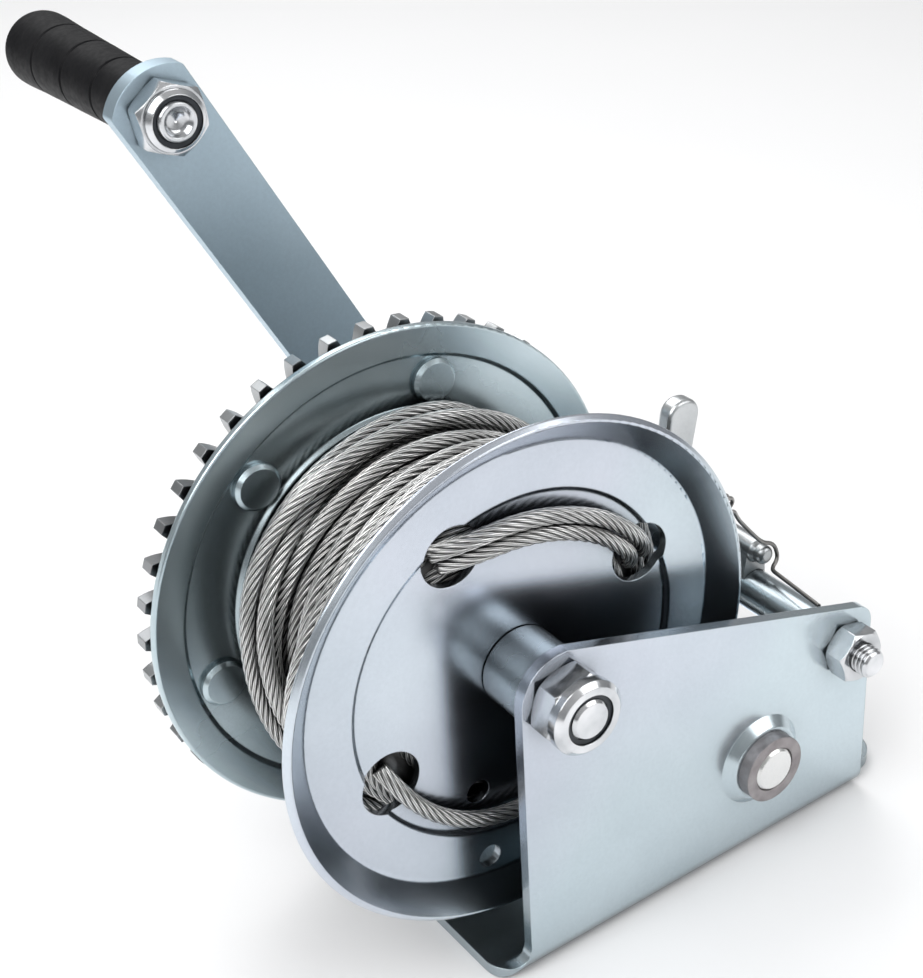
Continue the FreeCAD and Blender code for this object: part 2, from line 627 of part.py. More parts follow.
def rope_loop(first, last, distance):
    """Rope that slants out of one hole of the near flange, crosses its face and slants into another."""
    face_y = NEAR_HUB_Y - ROPE / 2 - LOOP_GAP
    inside_y = NEAR_HUB_BACK + WOUND_GAP
    slant = math.copysign(ROPE_SLANT, last - first)
    start, end = first + slant, last - slant
    directions = [start + (end - start) * i / LOOP_SPANS for i in range(LOOP_SPANS + 1)]
    x, z = polar(distance, first - slant)
    points = [Vector(x, inside_y, z)]
    for i, direction in enumerate(directions):
        x, z = polar(distance, direction)
        points.append(Vector(x, face_y - LOOP_BOW * math.sin(math.pi * i / LOOP_SPANS), z))
    x, z = polar(distance, last + slant)
    points.append(Vector(x, inside_y, z))
    solid, radii, length = tube_along(points, ROPE / 2)
    print("rope loop %.0f-%.0f deg: length %.1f mm, tightest bend %.1f mm, volume ratio %.3f"
          % (first, last, length, min(radii), solid.Volume / (math.pi * ROPE ** 2 / 4 * length)))
    return solid


def rope_loop_upper():
    """Two strands of rope side by side between the two upper holes."""
    upper, lower = ROPE_HOLE_CIRCLE + LOOP_SPREAD, ROPE_HOLE_CIRCLE - LOOP_SPREAD
    first, last = ROPE_HOLE_START, ROPE_HOLE_START + 90
    return Part.makeCompound([rope_loop(last, first, upper), rope_loop(last, first, lower)])


def rope_loop_lower():
    """One strand between the two lower holes."""
    return rope_loop(ROPE_HOLE_START + 180, ROPE_HOLE_START + 270, ROPE_HOLE_CIRCLE)


# ---- Crank shaft, arm and grip --------------------------------------------------------------
def crank_shaft():
    """Stepped shaft: journal, body, journal, drive square and threaded stub."""
    near_end = -OUTER - SHAFT_BUSH_OUT - SHAFT_END_OUT
    shoulder_y = -INNER + SHAFT_BUSH_IN + GAP
    profile = [(0, near_end), (JOURNAL_R - SHAFT_CHAMFER, near_end), (JOURNAL_R, near_end + SHAFT_CHAMFER),
               (JOURNAL_R, shoulder_y), (SHAFT_R, shoulder_y), (SHAFT_R, PINION_BACK),
               (JOURNAL_R, PINION_BACK), (JOURNAL_R, ARM_SEAT_Y), (0, ARM_SEAT_Y)]
    shaft = turned(SHAFT_X, SHAFT_Z, profile)
    side = DRIVE_SQUARE / 2
    square = Part.makeBox(DRIVE_SQUARE, ARM_THICK + OVERLAP - SQUARE_SHORT, DRIVE_SQUARE,
                          Vector(SHAFT_X - side, ARM_SEAT_Y - OVERLAP, SHAFT_Z - side))
    square.rotate(Vector(SHAFT_X, 0, SHAFT_Z), Vector(0, 1, 0), -CRANK_ANGLE)
    stub = cylinder(SHAFT_X, SHAFT_Z, STUB_R, WASHER_Y - OVERLAP, WASHER_Y + STUB_LENGTH)
    return shaft.fuse(square).fuse(stub).removeSplitter()


def pinion_gear():
    tip = MODULE * (PINION_TEETH / 2 + PINION_ADDENDUM + PINION_SHIFT)
    root = MODULE * (PINION_TEETH / 2 - DEDENDUM + PINION_SHIFT)
    phase = PINION_DIRECTION + 180 + 180 / PINION_TEETH
    pinion = spur_wheel(SHAFT_X, SHAFT_Z, PINION_TEETH, PINION_SHIFT, tip, root, phase,
                        PINION_Y, PINION_BACK)
    return pinion.cut(cylinder(SHAFT_X, SHAFT_Z, SHAFT_R + PRESS, PINION_Y - OVERLAP, PINION_BACK + OVERLAP))


def nose_direction():
    """Direction of the pawl's nose from the tie rod with the pawl released, degrees."""
    to_shaft = math.degrees(math.atan2(SHAFT_Z - TIE_ROD_Z, SHAFT_X - TIE_ROD_X))
    return to_shaft + PAWL_OPEN


def ratchet_phase():
    """Direction of a tooth that leaves a gap where the engaged nose comes to rest."""
    angle = math.radians(nose_direction() - PAWL_TRAVEL)
    tip_x = TIE_ROD_X + PAWL_REACH * math.cos(angle) - SHAFT_X
    tip_z = TIE_ROD_Z + PAWL_REACH * math.sin(angle) - SHAFT_Z
    return math.degrees(math.atan2(tip_z, tip_x)) + 180 / RATCHET_TEETH + RATCHET_LEAD


def ratchet_wheel():
    """Toothed wheel with straight-sided teeth that are narrower at the tip."""
    corners = []
    for i in range(RATCHET_TEETH):
        middle = ratchet_phase() + 360 / RATCHET_TEETH * i
        for radius, offset in ((RATCHET_ROOT, -ROOT_HALF), (RATCHET_TIP, -TIP_HALF),
                               (RATCHET_TIP, TIP_HALF), (RATCHET_ROOT, ROOT_HALF)):
            angle = math.radians(middle + offset)
            corners.append((SHAFT_X + radius * math.cos(angle), SHAFT_Z + radius * math.sin(angle), 0))
    wheel = side_plate(corners, RATCHET_Y, RATCHET_BACK)
    return wheel.cut(cylinder(SHAFT_X, SHAFT_Z, SHAFT_R + PRESS, RATCHET_Y - OVERLAP, RATCHET_BACK + OVERLAP))


def arm_outline(half, end, y0, y1):
    """Side view of the straightened arm: round at the shaft, a shallow arc at the grip."""
    run = math.sqrt(ARM_END_R ** 2 - half ** 2)
    centre = end - ARM_END_R
    corner = half - 0.1        # leaves a sliver of straight edge between the two roundings
    shank = side_plate([(-half, -half, corner), (centre + run, -half, 0), (centre + run, half, 0),
                        (-half, half, corner)], y0, y1)
    cap = cylinder(centre, 0, ARM_END_R, y0, y1)
    cap = cap.common(Part.makeBox(ARM_END_R, y1 - y0, 2 * half, Vector(centre, y0, -half)))
    outline = shank.fuse(cap).removeSplitter()
    corners = [edge for edge in outline.Edges
               if edge.BoundBox.YLength > 1 and edge.BoundBox.XMin > centre + run - 0.1]
    return outline.makeFillet(ARM_END_CORNER, corners)


def crank_arm():
    """Flat bar, bent outwards past the frame, built along +X and then turned."""
    half = ARM_WIDTH / 2
    end = CRANK_LENGTH + ARM_END_CREST
    out_back = ARM_OUT_Y + ARM_THICK
    shift = ARM_THICK * math.tan(math.atan2(ARM_OFFSET, ARM_BEND_END - ARM_BEND_START) / 2)
    inner = [(-half, ARM_SEAT_Y), (ARM_BEND_START, ARM_SEAT_Y), (ARM_BEND_END, ARM_OUT_Y),
             (end, ARM_OUT_Y)]
    outer = [(end, out_back), (ARM_BEND_END - shift, out_back), (ARM_BEND_START - shift, WASHER_Y),
             (-half, WASHER_Y)]
    wide = ARM_BEND_R + ARM_THICK
    radii = [0, ARM_BEND_R, wide, 0, 0, ARM_BEND_R, wide, 0]
    section = [(x, y, r) for (x, y), r in zip(inner + outer, radii)]
    face = Part.Face(rounded_wire(section, lambda x, y: Vector(x, y, -half)))
    bar = face.extrude(Vector(0, 0, ARM_WIDTH))
    bar = bar.common(arm_outline(half, end, ARM_SEAT_Y - OVERLAP, out_back + OVERLAP))
    side = DRIVE_SQUARE / 2 + RUN
    bar = bar.cut(Part.makeBox(2 * side, ARM_THICK + 2 * OVERLAP, 2 * side,
                               Vector(-side, ARM_SEAT_Y - OVERLAP, -side)))
    bar = bar.cut(cylinder(CRANK_LENGTH, 0, GRIP_BOLT_R + RUN, ARM_OUT_Y - OVERLAP, out_back + OVERLAP))
    bar.rotate(Vector(0, 0, 0), Vector(0, 1, 0), -CRANK_ANGLE)
    bar.translate(Vector(SHAFT_X, 0, SHAFT_Z))
    return bar


def crank_arm_washer():
    return tube(SHAFT_X, SHAFT_Z, ARM_WASHER_R, STUB_R + WASHER_PLAY, WASHER_Y, ARM_NUT_Y)


def crank_arm_lock_nut():
    return lock_nut(SHAFT_X, SHAFT_Z, ARM_NUT_ACROSS, ARM_NUT_COLLAR_R, STUB_R + RUN, ARM_NUT_Y,
                    ARM_NUT_Y + ARM_NUT_HEIGHT)


def crank_arm_nylon_ring():
    return nylon_ring(SHAFT_X, SHAFT_Z, STUB_R + RUN, ARM_NUT_Y, ARM_NUT_Y + ARM_NUT_HEIGHT)


def grip_axis():
    angle = math.radians(CRANK_ANGLE)
    return SHAFT_X + CRANK_LENGTH * math.cos(angle), SHAFT_Z + CRANK_LENGTH * math.sin(angle)


def grip_bolt():
    """Bolt with a low round head at the grip's outer end and a hollow tip at the arm."""
    x, z = grip_axis()
    tip = ARM_OUT_Y - GRIP_NUT_HEIGHT - GRIP_BOLT_OUT
    head = GRIP_END - GRIP_HEAD_DEPTH + GAP
    return turned(x, z, [(0, tip + 1.7), (2.6, tip + 1.3, 1.5), (3.6, tip, 0.3), (GRIP_BOLT_R - 0.5, tip, 0.4),
                         (GRIP_BOLT_R, tip + 0.8, 0.4), (GRIP_BOLT_R, head), (GRIP_HEAD_R, head),
                         (GRIP_HEAD_R, head + 3), (GRIP_HEAD_R - 1.5, head + 4), (0, head + 4)])


def grip_lock_nut():
    x, z = grip_axis()
    return lock_nut(x, z, GRIP_NUT_ACROSS, GRIP_NUT_COLLAR_R, GRIP_BOLT_R + RUN, ARM_OUT_Y,
                    ARM_OUT_Y - GRIP_NUT_HEIGHT, GRIP_NUT_TURN)


def grip_nylon_ring():
    x, z = grip_axis()
    return nylon_ring(x, z, GRIP_BOLT_R + RUN, ARM_OUT_Y, ARM_OUT_Y - GRIP_NUT_HEIGHT)


def hand_grip():
    """Tapered grip with three ring grooves, free to turn on its bolt."""
    x, z = grip_axis()

    def radius(y):
        return GRIP_THIN_R + (GRIP_THICK_R - GRIP_THIN_R) * (y - GRIP_START) / (GRIP_END - GRIP_START)

    profile = [(GRIP_BOLT_R + RUN, GRIP_START), (radius(GRIP_START) - 0.6, GRIP_START),
               (radius(GRIP_START), GRIP_START + 0.8)]
    for y in GRIP_GROOVES:
        profile += [(radius(y), y - GRIP_GROOVE), (radius(y) - GRIP_GROOVE, y),
                    (radius(y), y + GRIP_GROOVE)]
    profile += [(GRIP_THICK_R, GRIP_END - GRIP_HEAD_DEPTH), (GRIP_THICK_R, GRIP_END, GRIP_END_ROUND),
                (GRIP_HEAD_R + GAP, GRIP_END), (GRIP_HEAD_R + GAP, GRIP_END - GRIP_HEAD_DEPTH),
                (GRIP_BOLT_R + RUN, GRIP_END - GRIP_HEAD_DEPTH)]
    return turned(x, z, profile)


# ---- Pawl and its spring --------------------------------------------------------------------
def pawl_nose():
    """Wedge from the hub to the tip that drops between the ratchet's teeth."""
    direction = math.radians(nose_direction())
    ahead = Vector(math.cos(direction), 0, math.sin(direction))
    aside = Vector(-ahead.z, 0, ahead.x)
    corners = []
    for reach, offset in ((0, 5), (PAWL_REACH - 7, 4.5), (PAWL_REACH, 0.8), (PAWL_REACH, -0.8),
                          (PAWL_REACH - 7, -3), (0, -7)):
        corner = ahead * reach + aside * offset
        corners.append((TIE_ROD_X + corner.x, TIE_ROD_Z + corner.z, 0))
    return side_plate(corners, PAWL_Y, PAWL_BACK)


def pawl_lever():
    """Thumb lever that rises past the near flange's rim, with a round top and rounded edges."""
    lever = side_plate([(TIE_ROD_X - 7, TIE_ROD_Z, 0), (TIE_ROD_X + 7, TIE_ROD_Z, 0),
                        (TIE_ROD_X - 1.5, TIE_ROD_Z + 27, 20), (TIE_ROD_X + 2.8, TIE_ROD_Z + 47.1, 4.8),
                        (TIE_ROD_X - 8.0, TIE_ROD_Z + 48.1, 4.8), (TIE_ROD_X - 11.5, TIE_ROD_Z + 24, 20)],
                       PAWL_Y, PAWL_BACK)
    rims = [edge for edge in lever.Edges
            if edge.BoundBox.YLength < 0.1 and edge.BoundBox.ZMax > TIE_ROD_Z + 1]
    return lever.makeFillet(PAWL_EDGE, rims)


def pawl():
    """Pawl with a long hub on the tie rod, a stud for its spring, a nose and a thumb lever."""
    hub = cylinder(TIE_ROD_X, TIE_ROD_Z, PAWL_HUB_R, PAWL_HUB_FRONT, PAWL_BACK)
    stud = turned(STUD_X, STUD_Z, [(0, PAWL_STUD_FRONT), (STUD_TIP_R, PAWL_STUD_FRONT, 1.5),
                                   (STUD_TIP_R, PAWL_STUD_FRONT + 3, 0), (STUD_R, PAWL_STUD_FRONT + 4, 1),
                                   (STUD_R, PAWL_BACK), (0, PAWL_BACK)])
    saddle = side_plate([(TIE_ROD_X - 4.2, TIE_ROD_Z, 0), (TIE_ROD_X + 4.2, TIE_ROD_Z, 0),
                         (STUD_X + 3.2, STUD_Z, 0), (STUD_X - 3.2, STUD_Z, 0)], PAWL_SADDLE_FRONT, PAWL_BACK)
    body = hub.fuse([stud, saddle, pawl_nose(), pawl_lever()])
    return body.cut(cylinder(TIE_ROD_X, TIE_ROD_Z, TIE_TUBE_R + RUN, PAWL_STUD_FRONT,
                             PAWL_BACK + OVERLAP)).removeSplitter()


def pawl_spring():
    """Bent wire from inside the near plate's top edge, round the stud and into a small coiled eye."""
    front = PAWL_STUD_FRONT
    plate_x = TIE_ROD_X - 5.8
    points = [Vector(plate_x, -INNER + 1.0, top_edge_height(plate_x) - 0.4),
              Vector(STUD_X + 0.3, front - 1.2, STUD_Z - 3.4),
              Vector(STUD_X + 3.6, front - 0.3, STUD_Z - 1.6),
              Vector(STUD_X + 2.8, front + 0.6, STUD_Z + 2.8),
              Vector(STUD_X - 1.2, front + 1.0, STUD_Z + 4.4),
              Vector(STUD_X - 4.6, front + 1.5, STUD_Z + 8.4),
              Vector(STUD_X - 8.4, front + 2.5, STUD_Z + 13.4)]
    eye_x, eye_z = STUD_X - 11.1, STUD_Z + 18.5
    for i in range(SPRING_EYE_STEPS):
        angle = math.radians(-60 - 60 * i)
        points.append(Vector(eye_x + SPRING_EYE_R * math.cos(angle), front + 2.5 + SPRING_EYE_RISE * i,
                             eye_z + SPRING_EYE_R * math.sin(angle)))
    solid, radii, length = tube_along(points, SPRING_WIRE / 2)
    print("pawl spring: length %.1f mm, tightest bend %.1f mm" % (length, min(radii)))
    return solid


# ---- Build ----------------------------------------------------------------------------------
NODES = (frame_channel, drum_axle_bolt, drum_axle_lock_nut, drum_axle_nylon_ring, near_axle_spacer,
         far_axle_spacer, near_shaft_bush, far_shaft_bush, tie_rod_tube, tie_rod_bolt, tie_rod_nut,
         near_flange, far_flange, drum_barrel, drive_gear, gear_rivets, near_drum_bush,
         far_drum_bush, wound_rope, rope_loop_upper, rope_loop_lower, crank_shaft, pinion_gear,
         ratchet_wheel, crank_arm, crank_arm_washer, crank_arm_lock_nut, crank_arm_nylon_ring,
         grip_bolt, grip_lock_nut, grip_nylon_ring, hand_grip, pawl, pawl_spring)


def main():
    os.makedirs("parts", exist_ok=True)
    for make in NODES:
        shape = make()
        if not shape.isValid():
            print("not valid:", make.__name__)
        shape.exportStep("parts/%s.step" % make.__name__)
    print("%d nodes; crank shaft at x %.2f z %.2f; grip at x %.2f z %.2f"
          % ((len(NODES), SHAFT_X, SHAFT_Z) + grip_axis()))


main()
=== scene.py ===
"""The boat trailer winch in its studio: materials, rope, threads, lights and camera."""
import bpy
import json
import math
import random

import numpy as np
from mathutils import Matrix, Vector


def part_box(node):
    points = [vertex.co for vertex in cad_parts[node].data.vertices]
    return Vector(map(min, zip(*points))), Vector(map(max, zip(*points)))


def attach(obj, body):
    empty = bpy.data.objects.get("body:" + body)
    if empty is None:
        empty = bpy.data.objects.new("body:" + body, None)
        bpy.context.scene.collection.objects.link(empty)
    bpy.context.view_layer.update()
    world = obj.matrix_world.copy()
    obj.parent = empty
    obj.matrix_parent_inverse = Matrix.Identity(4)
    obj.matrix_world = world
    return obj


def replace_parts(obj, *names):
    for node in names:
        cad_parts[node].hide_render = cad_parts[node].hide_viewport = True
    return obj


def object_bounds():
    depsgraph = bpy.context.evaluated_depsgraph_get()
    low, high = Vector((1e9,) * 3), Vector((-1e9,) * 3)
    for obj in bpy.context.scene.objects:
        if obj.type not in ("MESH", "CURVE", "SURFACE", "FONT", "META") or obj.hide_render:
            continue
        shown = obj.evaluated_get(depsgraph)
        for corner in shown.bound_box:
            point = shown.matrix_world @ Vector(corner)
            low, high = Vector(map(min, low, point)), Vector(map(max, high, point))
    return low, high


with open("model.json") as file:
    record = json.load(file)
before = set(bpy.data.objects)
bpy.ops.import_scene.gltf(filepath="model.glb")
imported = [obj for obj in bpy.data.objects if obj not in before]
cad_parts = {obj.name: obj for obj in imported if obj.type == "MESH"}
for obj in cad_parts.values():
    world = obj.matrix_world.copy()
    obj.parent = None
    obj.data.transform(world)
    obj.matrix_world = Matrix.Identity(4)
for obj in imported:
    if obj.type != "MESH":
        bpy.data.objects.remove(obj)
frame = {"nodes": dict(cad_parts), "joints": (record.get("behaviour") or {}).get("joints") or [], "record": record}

CAD_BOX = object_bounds()
NODES = frame["nodes"]
MM = 0.001

# ---- Places taken from the frame -------------------------------------------------------------
JOINTS = {joint["name"]: joint for joint in frame["joints"]}
AXLE = Vector(JOINTS["drum_spin"]["pos_m"])
TIE_ROD = Vector(JOINTS["pawl_pivot"]["pos_m"])
ROPE = 4.0 * MM
ROPE_RADIUS = ROPE / 2


# ---- Mesh helpers ----------------------------------------------------------------------------
START_SIDE = (0.3, 0.9, 0.1)   # a direction that no rope here starts along
FEWEST_STEPS = 4
END_CAPS = 2                   # the last two faces of a closed tube


def new_object(name, verts, faces, material, body, smooth=True):
    """A mesh piece that rides on a body."""
    mesh = bpy.data.meshes.new(name)
    mesh.from_pydata([tuple(v) for v in verts], [], faces)
    mesh.materials.append(material)
    if smooth:
        mesh.polygons.foreach_set("use_smooth", [True] * len(mesh.polygons))
    piece = bpy.data.objects.new(name, mesh)
    bpy.context.scene.collection.objects.link(piece)
    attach(piece, body)
    return piece


def frames_along(points):
    """Unit tangents and a side vector that turns as little as possible, for each point of a path."""
    tangents = np.gradient(points, axis=0)
    tangents /= np.linalg.norm(tangents, axis=1)[:, None]
    sides = np.zeros_like(points)
    side = np.cross(tangents[0], START_SIDE)
    for i, tangent in enumerate(tangents):
        side = side - tangent * np.dot(side, tangent)
        side /= np.linalg.norm(side)
        sides[i] = side
    return tangents, sides


def round_the_line(centre, radius, angle, y):
    """Point at an angle from +X towards +Z round the line along Y through centre."""
    return centre.x + radius * math.cos(angle), y, centre.z + radius * math.sin(angle)


def even_points(points, step):
    """The same path with its points about a step apart, and how far along it each one lies."""
    runs = np.linalg.norm(np.diff(points, axis=0), axis=1)
    along = np.concatenate([[0], np.cumsum(runs)])
    count = max(int(along[-1] / step), FEWEST_STEPS)
    at = np.linspace(0, along[-1], count + 1)
    return np.stack([np.interp(at, along, points[:, k]) for k in range(3)], axis=1), at


def tube_faces(rings, around):
    """Quads of a closed tube and its two end caps."""
    faces = []
    for i in range(rings - 1):
        for j in range(around):
            k = (j + 1) % around
            faces.append((i * around + j, i * around + k, (i + 1) * around + k, (i + 1) * around + j))
    faces.append(tuple(reversed(range(around))))
    faces.append(tuple((rings - 1) * around + j for j in range(around)))
    return faces


def flat_ends(piece):
    """Shades the two end caps of a closed tube flat."""
    for cap in piece.data.polygons[-END_CAPS:]:
        cap.use_smooth = False


# ---- Rope ------------------------------------------------------------------------------------
ROPE_LAY = 25.0 * MM           # length in which a strand goes once round
OUTER_STRANDS = 8
STRAND_STEPS = 6               # points across each strand's outside
RING_STEP = 1.2 * MM           # from ring to ring of a rope's mesh
LOOP_RING_STEP = 0.8 * MM
ROUTE_STEPS = 24               # points read from each span of a route's NURBS line


def rope_section():
    """Angles, radii and crest heights round the rope: a round bulge for each outer strand."""
    half = math.pi / OUTER_STRANDS
    strand = ROPE_RADIUS * math.sin(half) / (1 + math.sin(half))
    centre = ROPE_RADIUS - strand
    angles = []
    radii = []
    for i in range(OUTER_STRANDS):
        for j in range(STRAND_STEPS):
            round_strand = math.pi * (j / STRAND_STEPS - 0.5)
            out = centre + strand * math.cos(round_strand)
            aside = strand * math.sin(round_strand)
            angles.append(2 * half * i + math.atan2(aside, out))
            radii.append(math.hypot(aside, out))
    radii = np.array(radii)
    crests = (radii - radii.min()) / (ROPE_RADIUS - radii.min())
    return np.array(angles), radii, crests


def rope(name, path, material, body, step=RING_STEP, phase=0.0):
    """Stranded rope along a path, laid right-handed, with a crest height and wire coordinates."""
    points, at = even_points(np.array(path, float), step)
    tangents, sides = frames_along(points)
    ups = np.cross(tangents, sides)
    angles, radii, crests = rope_section()
    turn = phase + 2 * math.pi * at / ROPE_LAY
    spin = angles[None, :] + turn[:, None]
    ring = (np.cos(spin) * radii)[:, :, None] * sides[:, None, :]
    ring += (np.sin(spin) * radii)[:, :, None] * ups[:, None, :]
    verts = (points[:, None, :] + ring).reshape(-1, 3)
    around = len(angles)
    piece = new_object(name, verts, tube_faces(len(points), around), material, body)
    mesh = piece.data
    crest = mesh.attributes.new("crest", "FLOAT", "POINT")
    crest.data.foreach_set("value", np.tile(crests, len(points)))
    wires = np.zeros((len(mesh.loops), 2))
    for polygon in mesh.polygons[:-END_CAPS]:
        column = polygon.index % around
        row = polygon.index // around
        for loop, (across, ahead) in zip(polygon.loop_indices, ((0, 0), (1, 0), (1, 1), (0, 1))):
            wires[loop] = ((column + across) / STRAND_STEPS, at[row + ahead] / ROPE_LAY)
    mesh.uv_layers.new(name="wires").data.foreach_set("uv", wires.ravel())
    groove_edges = np.zeros(len(mesh.edges), bool)
    for edge in mesh.edges:
        a, b = edge.vertices
        if a % around == b % around and a % STRAND_STEPS == 0:
            groove_edges[edge.index] = True
    mesh.edges.foreach_set("use_edge_sharp", groove_edges)
    return piece


def smooth_route(name, points):
    """Points of the smooth NURBS line that a route's points control."""
    curve = bpy.data.curves.new(name, "CURVE")
    curve.dimensions = "3D"
    curve.resolution_u = ROUTE_STEPS
    spline = curve.splines.new("NURBS")
    spline.points.add(len(points) - 1)
    for point, place in zip(spline.points, points):
        point.co = (*place, 1)
    spline.order_u = 3
    spline.use_endpoint_u = True
    line = bpy.data.objects.new(name, curve)
    bpy.context.scene.collection.objects.link(line)
    bpy.context.view_layer.update()
    mesh = bpy.data.meshes.new_from_object(line)
    route = [tuple(v.co) for v in mesh.vertices]
    bpy.data.objects.remove(line)
    bpy.data.meshes.remove(mesh)
    return route


TURN_STEPS = 144               # points in one turn of rope on the drum
EVEN_TURNS = 10.25             # the even layer, wound from the far flange to the near one
LOOSE_TURNS = 8.0
LAST_TURNS = 0.68
WINDING_DEPTH = 2.25 * ROPE    # from the CAD winding's outside to the centre of the lowest turns
LOOSE_START = 0.5 * ROPE       # from the near end of the even layer to the first loose turn
WINDING_SEED = 7
WINDING_DRIFT = 8.0 * MM       # how far the loose turns stray sideways
DRIFT_KNOTS = 3                # random places in one turn
SPARE_KNOTS = 4
TIGHTENING_PASSES = 60
SMOOTHING_REACH = 4            # points on each side that a radius is averaged with
SIDE_TURN_START = 24.5 * MM    # centre radius of the innermost turn against the near flange
CORE_BORE = 22.3 * MM
CORE_DEPTH = 0.1 * ROPE        # how far the plain core stays below the even layer's centre
CORE_EDGE_DEPTH = 0.3 * ROPE


def wander(rng, turns, size):
    """Smooth random drift for each point of several turns."""
    knots = [rng.uniform(-size, size) for _ in range(int(turns * DRIFT_KNOTS) + SPARE_KNOTS)]
    at = np.linspace(0, len(knots) - 1, int(turns * TURN_STEPS) + 1)
    drift = np.interp(at, range(len(knots)), knots)
    kernel = np.hanning(TURN_STEPS // DRIFT_KNOTS)
    margin = len(kernel)
    padded = np.pad(drift, margin, mode="edge")
    return np.convolve(padded, kernel / kernel.sum(), "same")[margin:-margin]


def resting_radius(y, at, wound, floor):
    """Centre radius at which the rope lies on the turns wound before it."""
    radius = floor
    for other_y, other_radius in wound[at % TURN_STEPS]:
        gap = abs(y - other_y)
        if gap < ROPE:
            radius = max(radius, other_radius + math.sqrt(ROPE ** 2 - gap ** 2))
    return radius


def wind(ys, start, wound, floor):
    """Centre radii of a length of rope that is pulled tight over the turns below it."""
    radii = []
    for first in range(0, len(ys), TURN_STEPS):
        span = range(first, min(first + TURN_STEPS, len(ys)))
        rest = np.array([resting_radius(ys[k], start + k, wound, floor) for k in span])
        radius = rest.copy()
        for _ in range(TIGHTENING_PASSES):
            bridge = (np.roll(radius, 1) + np.roll(radius, -1)) / 2
            bridge[0] = radii[-1] if radii else radius[0]
            bridge[-1] = radius[-1]
            radius = np.maximum(rest, bridge)
        for k, value in zip(span, radius):
            wound[(start + k) % TURN_STEPS].append((ys[k], value))
        radii.extend(radius)
    return radii


def drum_windings():
    """Path of the outer rope, and the centre radius of its lowest turns.

    The rope makes an even layer, a loose one that crosses it and a last part turn.
    """
    low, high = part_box("wound_rope")
    near_hub = low.y + ROPE_RADIUS
    far_hub = high.y - ROPE_RADIUS
    rivet_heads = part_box("gear_rivets")[0].y - ROPE_RADIUS
    floor = (high.z - low.z) / 2 - WINDING_DEPTH
    rng = random.Random(WINDING_SEED)
    even = np.linspace(far_hub, near_hub, int(EVEN_TURNS * TURN_STEPS) + 1)
    loose = np.linspace(near_hub + LOOSE_START, rivet_heads, int(LOOSE_TURNS * TURN_STEPS) + 1)
    loose = np.clip(loose + wander(rng, LOOSE_TURNS, WINDING_DRIFT), near_hub, rivet_heads)
    last = np.linspace(loose[-1], rivet_heads, int(LAST_TURNS * TURN_STEPS) + 1)
    wound = [[] for _ in range(TURN_STEPS)]
    ys = np.concatenate([even, loose, last])
    radii = wind(even, 0, wound, floor)
    radii += wind(loose, len(even), wound, floor)
    radii += wind(last, len(even) + len(loose), wound, floor)
    averaged = 2 * SMOOTHING_REACH + 1
    radii = np.convolve(np.pad(radii, SMOOTHING_REACH, mode="edge"), np.ones(averaged) / averaged, "valid")
    path = []
    for k, (y, radius) in enumerate(zip(ys, radii)):
        path.append(round_the_line(AXLE, radius, -2 * math.pi * k / TURN_STEPS, y))
    return path, floor


def side_turns(first_radius, last_radius, y):
    """Flat spiral of the turns that lie against a flange."""
    turns = (last_radius - first_radius) / ROPE
    count = int(turns * TURN_STEPS)
    path = []
    for k in range(count + 1):
        radius = first_radius + ROPE * k / TURN_STEPS
        path.append(round_the_line(AXLE, radius, 2 * math.pi * k / TURN_STEPS, y))
    return path


def lathe(name, profile, centre, material, body, steps=96):
    """Closed ring turned about the line along Y through centre; profile is (radius, y) corners."""
    verts = []
    for i in range(steps):
        angle = 2 * math.pi * i / steps
        for radius, y in profile:
            verts.append(round_the_line(centre, radius, angle, y))
    count = len(profile)
    faces = []
    for i in range(steps):
        for j in range(count):
            a = i * count + j
            b = i * count + (j + 1) % count
            c = (i + 1) % steps * count + (j + 1) % count
            d = (i + 1) % steps * count + j
            faces.append((a, b, c, d))
    return new_object(name, verts, faces, material, body)


def wound_rope(material):
    """The drum's rope: stranded outer turns and side turns over a plain core for the hidden layers."""
    path, floor = drum_windings()
    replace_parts(rope("rope_winding", path, material, "drum"), "wound_rope")
    low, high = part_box("wound_rope")
    near_face = low.y + ROPE_RADIUS
    spiral = side_turns(SIDE_TURN_START, floor - ROPE, near_face)
    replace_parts(rope("rope_side_turns", spiral, material, "drum"), "wound_rope")
    core = floor - CORE_DEPTH
    core_edge = floor - CORE_EDGE_DEPTH
    profile = [(CORE_BORE, near_face), (core_edge, near_face), (core, low.y + ROPE),
               (core, high.y - ROPE), (core_edge, high.y), (CORE_BORE, high.y)]
    inner_layers = lathe("rope_inner_layers", profile, AXLE, material, "drum")
    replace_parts(inner_layers, "wound_rope")


# The loops' routes repeat the driving dimensions of the CAD tubes that they replace, all but the sag.
HOLE_CIRCLE = 38.6 * MM
HOLE_START = 24.4              # first of the four rope holes, degrees from +X
HOLE_SPACING = 90              # degrees
HUB_DEPTH = 7.0 * MM           # from the near flange's rim in to its middle
LOOP_SLANT = 4.5               # a loop crosses the flange within this many degrees of a hole's middle
LOOP_BOW = 1.0 * MM            # how far a loop stands further out at its middle
LOOP_GAP = 0.5 * MM            # from a loop to the flange at its ends
LOOP_INSIDE = 2.4 * MM         # how far in behind the flange's face a loop ends
LOOP_SPANS = 4
LOOP_SPREAD = 2.1 * MM         # the two upper loops lie this far either side of the hole circle
LOOP_SAG = 2.2 * MM            # of the upper loops, towards the axle
INNER_PHASE = 1.0              # radians that the inner loop's strands are turned by


